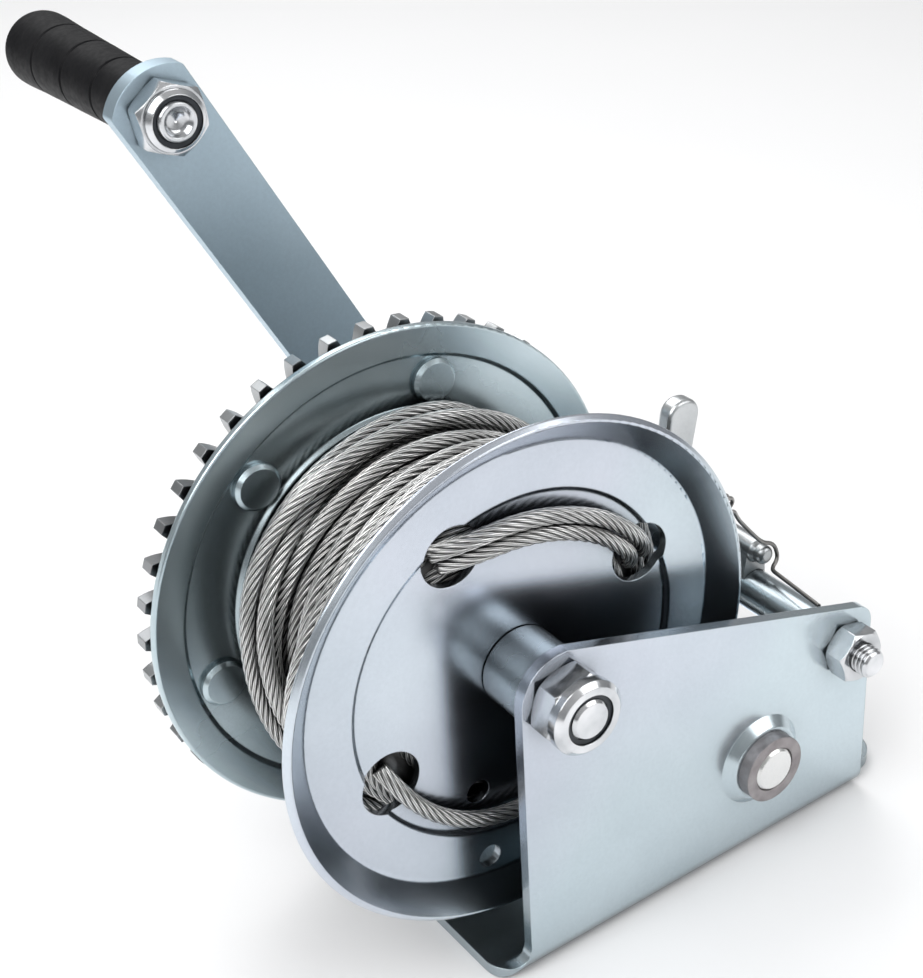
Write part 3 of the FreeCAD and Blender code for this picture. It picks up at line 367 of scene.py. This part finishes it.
def loop_route(first, last, distance, sag):
    """Route of a loop from hole to hole across the near flange's face; it sags towards the axle."""
    flange_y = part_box("near_flange")[0].y + HUB_DEPTH
    face_y = flange_y - ROPE_RADIUS - LOOP_GAP
    inside_y = flange_y + LOOP_INSIDE
    slant = math.copysign(LOOP_SLANT, last - first)
    start = first + slant
    end = last - slant
    stops = [(first - slant, distance, inside_y)]
    for i in range(LOOP_SPANS + 1):
        rise = math.sin(math.pi * i / LOOP_SPANS)
        along = start + (end - start) * i / LOOP_SPANS
        stops.append((along, distance - sag * rise, face_y - LOOP_BOW * rise))
    stops.append((last + slant, distance, inside_y))
    return [round_the_line(AXLE, radius, math.radians(at), y) for at, radius, y in stops]


def rope_loops(material):
    """Two loops side by side through the upper holes of the near flange, one through the lower."""
    first, second, third, fourth = [HOLE_START + HOLE_SPACING * i for i in range(4)]
    for name, offset, phase in (("rope_loop_outer", LOOP_SPREAD, 0.0),
                                ("rope_loop_inner", -LOOP_SPREAD, INNER_PHASE)):
        route = smooth_route(name, loop_route(second, first, HOLE_CIRCLE + offset, LOOP_SAG))
        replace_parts(rope(name, route, material, "drum", LOOP_RING_STEP, phase), "rope_loop_upper")
    route = smooth_route("rope_loop_single", loop_route(third, fourth, HOLE_CIRCLE, 0.0))
    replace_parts(rope("rope_loop_single", route, material, "drum", LOOP_RING_STEP), "rope_loop_lower")


# ---- Bolts with threads ----------------------------------------------------------------------
ROUND_SIDES = 48               # points round a bolt
HEXAGON = 6
THREAD_RING = 0.1              # from ring to ring of a thread's mesh, in pitches
FEWEST_RINGS = 8
THREAD_DEPTH = 0.61            # in pitches
FLANK_SLOPE = 2.6              # how steeply the flanks rise from root to crest
ROOT_FLAT = 0.15               # how much of the rise is cut off to leave a flat root


def threaded_rod(name, centre, radius, pitch, start, end, tip_chamfer, material, body):
    """Thread from start to end along Y; the end is chamfered and flat."""
    way = math.copysign(1, end - start)
    length = abs(end - start)
    rings = max(int(length / (THREAD_RING * pitch)), FEWEST_RINGS)
    depth = THREAD_DEPTH * pitch
    verts = []
    for i in range(rings + 1):
        along = length * i / rings
        for j in range(ROUND_SIDES):
            turn = (along / pitch - way * j / ROUND_SIDES) % 1.0
            crest = min(1.0, max(0.0, FLANK_SLOPE * abs(turn - 0.5) - ROOT_FLAT))
            size = radius - depth * (1 - crest)
            size = min(size, radius - tip_chamfer + (length - along))
            verts.append(round_the_line(centre, size, 2 * math.pi * j / ROUND_SIDES, start + way * along))
    faces = tube_faces(rings + 1, ROUND_SIDES)
    piece = new_object(name, verts, faces, material, body)
    flat_ends(piece)
    return piece


TIE_BOLT_R = 3.95 * MM
TIE_PITCH = 1.25 * MM
TIE_CHAMFER = 0.9 * MM
TIE_ACROSS = 13.0 * MM
HEAD_RIM = 0.5 * MM            # turned-down rim of the bolt's head


def threaded_tie_bolt(material):
    """Plain shank between the plates, thread towards the nut and a hexagon head."""
    low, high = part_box("tie_rod_bolt")
    head_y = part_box("frame_channel")[1].y
    nut_low, nut_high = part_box("tie_rod_nut")
    centre = Vector((TIE_ROD.x, 0, TIE_ROD.z))
    thread_start = (nut_low.y + nut_high.y) / 2
    threaded = threaded_rod("tie_bolt_thread", centre, TIE_BOLT_R, TIE_PITCH, thread_start, low.y,
                            TIE_CHAMFER, material, "frame")
    shank = bar("tie_bolt_shank", centre, [(head_y, TIE_BOLT_R), (thread_start, TIE_BOLT_R)],
                ROUND_SIDES, material, True)
    flat = TIE_ACROSS / 2
    corner = TIE_ACROSS / math.sqrt(3)
    stations = [(high.y, flat), (high.y - HEAD_RIM, corner), (head_y, corner)]
    head = bar("tie_bolt_head", centre, stations, HEXAGON, material, False)
    for piece in (threaded, shank, head):
        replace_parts(piece, "tie_rod_bolt")


def bar(name, centre, stations, sides, material, smooth):
    """Bar along Y with the given number of sides; stations are (y, corner radius), highest y first."""
    verts = []
    for y, radius in stations:
        for i in range(sides):
            verts.append(round_the_line(centre, radius, 2 * math.pi * i / sides, y))
    faces = tube_faces(len(stations), sides)
    piece = new_object(name, verts, faces, material, "frame", smooth)
    flat_ends(piece)
    return piece


# ---- Node materials --------------------------------------------------------------------------
SHADE_SAMPLES = 4              # rays for rounded edges and for the painted shade in hollows
HOLLOW_SHADE_START = 0.25            # openness up to which the painted hollow shade is at its darkest
HOLLOW_SHADE_END = 0.85              # openness from which no painted shade is added


class Shader:
    """A material's node tree, with short calls for the nodes that every surface here uses."""

    def __init__(self, name, metallic):
        self.material = bpy.data.materials.new(name)
        self.material.use_nodes = True
        self.nodes = self.material.node_tree.nodes
        self.links = self.material.node_tree.links
        self.surface = self.nodes["Principled BSDF"]
        self.surface.inputs["Metallic"].default_value = metallic
        self.place = self.nodes.new("ShaderNodeTexCoord").outputs["Object"]
        self.normal = None

    def feed(self, socket, value):
        """Gives a socket a number, a colour or another node's output."""
        if isinstance(value, (int, float)):
            socket.default_value = value
        elif isinstance(value, tuple):
            socket.default_value = (*value, 1)
        else:
            self.links.new(value, socket)

    def noise(self, scale, detail):
        """Noise in object space; scale is in bumps per metre."""
        node = self.nodes.new("ShaderNodeTexNoise")
        node.inputs["Scale"].default_value = scale
        node.inputs["Detail"].default_value = detail
        self.links.new(self.place, node.inputs["Vector"])
        return node.outputs["Fac"]

    def ramp(self, factor, stops):
        """Colour ramp between two (position, colour) stops."""
        node = self.nodes.new("ShaderNodeValToRGB")
        for element, (position, colour) in zip(node.color_ramp.elements, stops):
            element.position = position
            element.color = (*colour, 1)
        self.links.new(factor, node.inputs["Fac"])
        return node.outputs["Color"]

    def span(self, factor, low, high, start=0.3, end=0.7):
        """Value that goes from low to high as factor goes from start to end."""
        node = self.nodes.new("ShaderNodeMapRange")
        node.inputs["From Min"].default_value = start
        node.inputs["From Max"].default_value = end
        node.inputs["To Min"].default_value = low
        node.inputs["To Max"].default_value = high
        self.links.new(factor, node.inputs["Value"])
        return node.outputs["Result"]

    def mix(self, factor, first, second, blend="MIX"):
        """First colour with the second blended over it by factor."""
        node = self.nodes.new("ShaderNodeMix")
        node.data_type = "RGBA"
        node.blend_type = blend
        self.feed(node.inputs["Factor"], factor)
        self.feed(node.inputs["A"], first)
        self.feed(node.inputs["B"], second)
        return node.outputs["Result"]

    def painted_hollow_shade(self, colour, reach, darkest):
        """Colour with painted shade: darker where the surface is shut in by its neighbours."""
        node = self.nodes.new("ShaderNodeAmbientOcclusion")
        node.samples = SHADE_SAMPLES
        node.inputs["Distance"].default_value = reach
        shade = self.span(node.outputs["AO"], darkest, 1.0, HOLLOW_SHADE_START, HOLLOW_SHADE_END)
        return self.mix(1.0, colour, self.grey(shade), "MULTIPLY")

    def grey(self, value):
        """Colour with the same value in each channel."""
        node = self.nodes.new("ShaderNodeCombineColor")
        for channel in ("Red", "Green", "Blue"):
            self.links.new(value, node.inputs[channel])
        return node.outputs["Color"]

    def math(self, operation, first, second=0.0):
        """Result of an operation on one or two values."""
        node = self.nodes.new("ShaderNodeMath")
        node.operation = operation
        self.feed(node.inputs[0], first)
        self.feed(node.inputs[1], second)
        return node.outputs["Value"]

    def rounded_edges(self, radius):
        """Edges that catch the light as if they had a small radius."""
        node = self.nodes.new("ShaderNodeBevel")
        node.samples = SHADE_SAMPLES
        node.inputs["Radius"].default_value = radius
        self.normal = node.outputs["Normal"]

    def bump(self, height, distance, strength):
        """Bumps of a height over the normals so far."""
        node = self.nodes.new("ShaderNodeBump")
        node.inputs["Strength"].default_value = strength
        node.inputs["Distance"].default_value = distance
        self.links.new(height, node.inputs["Height"])
        if self.normal is not None:
            self.links.new(self.normal, node.inputs["Normal"])
        self.normal = node.outputs["Normal"]

    def finish(self, colour, roughness):
        """The material, with its colour, roughness and normal given to the surface."""
        self.feed(self.surface.inputs["Base Color"], colour)
        self.feed(self.surface.inputs["Roughness"], roughness)
        if self.normal is not None:
            self.links.new(self.normal, self.surface.inputs["Normal"])
        return self.material


PLATED_EDGE = 0.35 * MM        # radius of a plated part's edges
GRAIN_SHARE = 0.08             # how strongly the darkest grain shows
GRAIN_COLOUR = (0.30, 0.33, 0.36)
SMOOTHER = 0.015               # how far the roughness of plated steel falls in places
ROUGHER = 0.02                 # and how far it rises


def zinc(name, light, dark, roughness, tint=(1, 1, 1), shade=0.25):
    """Zinc-plated steel: cloudy colour with a drifting tint, fine grain, painted shade where neighbours shut it
    in, and a rounded edge.
    """
    shader = Shader(name, metallic=1.0)
    shader.rounded_edges(PLATED_EDGE)
    cloud = shader.noise(scale=24, detail=3.0)
    base = shader.ramp(cloud, [(0.35, dark), (0.65, light)])
    drift = shader.noise(scale=11, detail=1.0)
    tinted = shader.mix(1.0, base, tint, "MULTIPLY")
    base = shader.mix(shader.span(drift, low=1.0, high=0.0, start=0.4, end=0.6), base, tinted)
    grain = shader.noise(scale=1300, detail=2.0)
    colour = shader.mix(shader.span(grain, low=0.0, high=GRAIN_SHARE), base, GRAIN_COLOUR, "MULTIPLY")
    # Painted shade: darker where neighbouring parts within 25 mm shut the surface in, down to the shade factor.
    colour = shader.painted_hollow_shade(colour, reach=25 * MM, darkest=shade)
    smears = shader.noise(scale=60, detail=2.0)
    rough = shader.span(smears, low=roughness - SMOOTHER, high=roughness + ROUGHER)
    shader.bump(grain, distance=0.01 * MM, strength=0.2)
    return shader.finish(colour, rough)


def fastener():
    """Bright plated nut or bolt, with painted shade in its hollows."""
    shader = Shader("zinc fastener", metallic=1.0)
    shader.rounded_edges(PLATED_EDGE)
    cloud = shader.noise(scale=120, detail=3.0)
    colour = shader.ramp(cloud, [(0.35, (0.58, 0.60, 0.62)), (0.65, (0.80, 0.81, 0.83))])
    # Painted shade: darker where neighbours within 5 mm shut the surface in.
    colour = shader.painted_hollow_shade(colour, reach=5 * MM, darkest=0.2)
    rough = shader.span(shader.noise(scale=400, detail=4.0), low=0.12, high=0.22)
    shader.bump(shader.noise(scale=500, detail=3.0), distance=0.01 * MM, strength=0.5)
    return shader.finish(colour, rough)


WIRES_ACROSS = 3.0             # wires seen side by side on one strand
WIRE_TURNS = 3.0               # strand widths that the wires drift across in one lay of the rope
CREASE_SHADE_SHARE = 0.75               # how strongly the painted shade darkens gaps between wires and grooves between strands
# Colours of the painted shade in the gaps between wires and in the grooves between strands
WIRE_GAP_SHADE_COLOUR = (0.10, 0.10, 0.098)
GROOVE_SHADE_COLOUR = (0.03, 0.03, 0.029)


def rope_steel():
    """Galvanised wires: fine stripes along each strand, painted shade in the gaps between wires and in the grooves
    between strands, so the crests show bright.
    """
    shader = Shader("rope steel", metallic=1.0)
    wires = shader.nodes.new("ShaderNodeUVMap")
    wires.uv_map = "wires"
    split = shader.nodes.new("ShaderNodeSeparateXYZ")
    shader.links.new(wires.outputs["UV"], split.inputs["Vector"])
    across = shader.math("MULTIPLY", split.outputs["X"], 2 * math.pi * WIRES_ACROSS)
    along = shader.math("MULTIPLY", split.outputs["Y"], 2 * math.pi * WIRES_ACROSS * WIRE_TURNS)
    wave = shader.math("SINE", shader.math("ADD", across, along))
    stripe = shader.span(wave, low=0.0, high=1.0, start=-1.0, end=0.6)
    crest = shader.nodes.new("ShaderNodeAttribute")
    crest.attribute_name = "crest"
    height = crest.outputs["Fac"]
    patch = shader.noise(scale=110, detail=4.0)
    colour = shader.ramp(patch, [(0.3, (0.78, 0.78, 0.77)), (0.7, (0.97, 0.97, 0.96))])
    # Painted shade in the gaps between the wires
    gap = shader.span(stripe, low=CREASE_SHADE_SHARE, high=0.0, start=0.0, end=1.0)
    colour = shader.mix(gap, colour, WIRE_GAP_SHADE_COLOUR, "MULTIPLY")
    # Painted shade in the grooves between strands, by crest height
    groove_shade = shader.span(height, low=CREASE_SHADE_SHARE, high=0.0, start=0.0, end=0.55)
    colour = shader.mix(groove_shade, colour, GROOVE_SHADE_COLOUR, "MULTIPLY")
    # Painted shade where neighbouring turns shut the rope in
    colour = shader.painted_hollow_shade(colour, reach=4 * MM, darkest=0.14)
    shader.bump(stripe, distance=0.12 * MM, strength=0.8)
    return shader.finish(colour, shader.span(patch, low=0.28, high=0.45))


def rubber():
    """Moulded grip rubber."""
    shader = Shader("grip rubber", metallic=0.0)
    shader.rounded_edges(0.4 * MM)
    cloud = shader.noise(scale=120, detail=4.0)
    colour = shader.ramp(cloud, [(0.3, (0.004, 0.004, 0.005)), (0.7, (0.010, 0.010, 0.011))])
    rough = shader.span(shader.noise(scale=700, detail=4.0), low=0.40, high=0.56)
    shader.surface.inputs["Specular IOR Level"].default_value = 0.3
    shader.surface.inputs["IOR"].default_value = 1.25
    shader.bump(shader.noise(scale=2200, detail=2.0), distance=0.03 * MM, strength=0.6)
    return shader.finish(colour, rough)


def bronze():
    """Sintered bush: dull grey-brown with fine pores."""
    shader = Shader("sintered bronze", metallic=0.85)
    shader.rounded_edges(0.5 * MM)
    cloud = shader.noise(scale=260, detail=5.0)
    colour = shader.ramp(cloud, [(0.3, (0.24, 0.22, 0.225)), (0.7, (0.40, 0.375, 0.38))])
    shader.bump(shader.noise(scale=2600, detail=2.0), distance=0.03 * MM, strength=0.6)
    return shader.finish(colour, shader.span(cloud, low=0.34, high=0.5))


def nylon():
    """Dark nylon ring of a lock nut."""
    shader = Shader("lock nut nylon", metallic=0.0)
    cloud = shader.noise(scale=300, detail=3.0)
    colour = shader.ramp(cloud, [(0.3, (0.012, 0.016, 0.022)), (0.7, (0.03, 0.036, 0.045))])
    shader.bump(shader.noise(scale=1500, detail=2.0), distance=0.02 * MM, strength=0.5)
    return shader.finish(colour, 0.45)


def floor_paint():
    """Pale matt studio floor."""
    shader = Shader("studio floor", metallic=0.0)
    cloud = shader.noise(scale=3, detail=2.0)
    colour = shader.ramp(cloud, [(0.3, (0.91, 0.91, 0.915)), (0.7, (0.93, 0.93, 0.935))])
    return shader.finish(colour, 0.6)


MATERIALS = {
    "zinc_sheet": zinc("zinc sheet", light=(0.62, 0.71, 0.755), dark=(0.56, 0.65, 0.695),
                       roughness=0.22, tint=(1.055, 0.98, 1.02), shade=0.35),
    "dark_zinc_sheet": zinc("dark zinc sheet", light=(0.64, 0.74, 0.78), dark=(0.52, 0.62, 0.66),
                            roughness=0.26, shade=0.4),
    "gear_steel": zinc("gear steel", light=(0.55, 0.57, 0.58), dark=(0.34, 0.35, 0.36), roughness=0.28),
    "zinc_fastener": fastener(),
    "zinc_tube": zinc("zinc tube", light=(0.60, 0.67, 0.71), dark=(0.46, 0.53, 0.57), roughness=0.27),
    "bright_shaft": zinc("bright shaft", light=(0.84, 0.84, 0.83), dark=(0.70, 0.70, 0.69),
                         roughness=0.26, shade=0.6),
    "blue_zinc_bar": zinc("blue zinc bar", light=(0.50, 0.62, 0.70), dark=(0.46, 0.58, 0.66),
                          roughness=0.42, shade=0.7),
    "zinc_pawl": zinc("zinc pawl", light=(0.66, 0.68, 0.69), dark=(0.46, 0.48, 0.49), roughness=0.32),
    "spring_wire": zinc("spring wire", light=(0.40, 0.39, 0.38), dark=(0.26, 0.25, 0.24), roughness=0.32),
    "sintered_bronze": bronze(),
    "nylon": nylon(),
    "wire_rope": rope_steel(),
    "grip_rubber": rubber(),
}


def dress_cad_nodes():
    """Gives every CAD node the material of its slot."""
    for subpart in frame["record"]["subparts"]:
        mesh = NODES[subpart["node"]].data
        mesh.materials.clear()
        mesh.materials.append(MATERIALS[subpart["material_slot"]])


# ---- Studio ----------------------------------------------------------------------------------
VIEW_AZIMUTH = math.radians(-39.45)
VIEW_ELEVATION = math.radians(28.26)
VIEW_TARGET = Vector((90.9, 38.2, 78.0)) * MM
VIEW_DISTANCE = 500 * MM
LENS = 66.3
SHIFT = (-0.1959, -0.0595)
CLIP_START = 0.01              # metres
LIGHT_TARGET = Vector((0.02, 0.02, 0.08))
WORLD_LOW = (0.52, 0.53, 0.54, 1)
WORLD_HIGH = (1, 1, 1, 1)
WORLD_TOP = 0.75               # upward part of a direction at which the world is at its brightest
WORLD_STRENGTH = 0.5
FLOOR_REACH = 4.0              # metres
FLOOR_GAP = 0.1 * MM           # from the CAD model's lowest face down to the floor


def direction(azimuth, elevation):
    """Unit vector from the object towards a viewer."""
    flat = math.cos(elevation)
    return Vector((math.sin(azimuth) * flat, -math.cos(azimuth) * flat, math.sin(elevation)))


def make_camera():
    """Camera at the photograph's viewing angle."""
    camera = bpy.data.cameras.new("camera")
    camera.lens = LENS
    camera.shift_x, camera.shift_y = SHIFT
    camera.clip_start = CLIP_START
    holder = bpy.data.objects.new("camera", camera)
    back = direction(VIEW_AZIMUTH, VIEW_ELEVATION)
    holder.location = VIEW_TARGET + back * VIEW_DISTANCE
    holder.rotation_euler = back.to_track_quat("Z", "Y").to_euler()
    bpy.context.scene.collection.objects.link(holder)
    bpy.context.scene.camera = holder


def softbox(name, azimuth, elevation, distance, size, power):
    """Rectangular area light that faces the object; angles are in degrees."""
    light = bpy.data.lights.new(name, "AREA")
    light.shape = "RECTANGLE"
    light.size, light.size_y = size
    light.energy = power
    holder = bpy.data.objects.new(name, light)
    back = direction(math.radians(azimuth), math.radians(elevation))
    holder.location = LIGHT_TARGET + back * distance
    holder.rotation_euler = back.to_track_quat("Z", "Y").to_euler()
    bpy.context.scene.collection.objects.link(holder)


def make_lights():
    """Three softboxes round the object."""
    softbox("key", azimuth=-75, elevation=48, distance=1.1, size=(0.9, 0.9), power=9)
    softbox("fill", azimuth=35, elevation=30, distance=1.3, size=(0.9, 0.7), power=4.5)
    softbox("back", azimuth=165, elevation=50, distance=1.2, size=(1.0, 0.6), power=6)


def make_world():
    """Soft light from all round, grey up to the horizon and white above."""
    world = bpy.data.worlds.new("studio")
    world.use_nodes = True
    nodes = world.node_tree.nodes
    links = world.node_tree.links
    place = nodes.new("ShaderNodeTexCoord").outputs["Generated"]
    split = nodes.new("ShaderNodeSeparateXYZ")
    links.new(place, split.inputs["Vector"])
    ramp = nodes.new("ShaderNodeValToRGB")
    low, high = ramp.color_ramp.elements
    low.position = 0.0
    low.color = WORLD_LOW
    high.position = WORLD_TOP
    high.color = WORLD_HIGH
    links.new(split.outputs["Z"], ramp.inputs["Fac"])
    links.new(ramp.outputs["Color"], nodes["Background"].inputs["Color"])
    nodes["Background"].inputs["Strength"].default_value = WORLD_STRENGTH
    bpy.context.scene.world = world


def make_floor():
    """Plain square floor just under the object."""
    mesh = bpy.data.meshes.new("studio_floor")
    low = CAD_BOX[0].z - FLOOR_GAP
    corners = [(x * FLOOR_REACH, y * FLOOR_REACH, low) for x, y in ((-1, -1), (1, -1), (1, 1), (-1, 1))]
    mesh.from_pydata(corners, [], [(0, 1, 2, 3)])
    mesh.materials.append(floor_paint())
    floor = bpy.data.objects.new("studio_floor", mesh)
    bpy.context.scene.collection.objects.link(floor)


dress_cad_nodes()
wound_rope(MATERIALS["wire_rope"])
rope_loops(MATERIALS["wire_rope"])
threaded_tie_bolt(MATERIALS["zinc_fastener"])
make_camera()
make_lights()
make_world()
make_floor()
bpy.context.scene.view_settings.view_transform = "Standard"
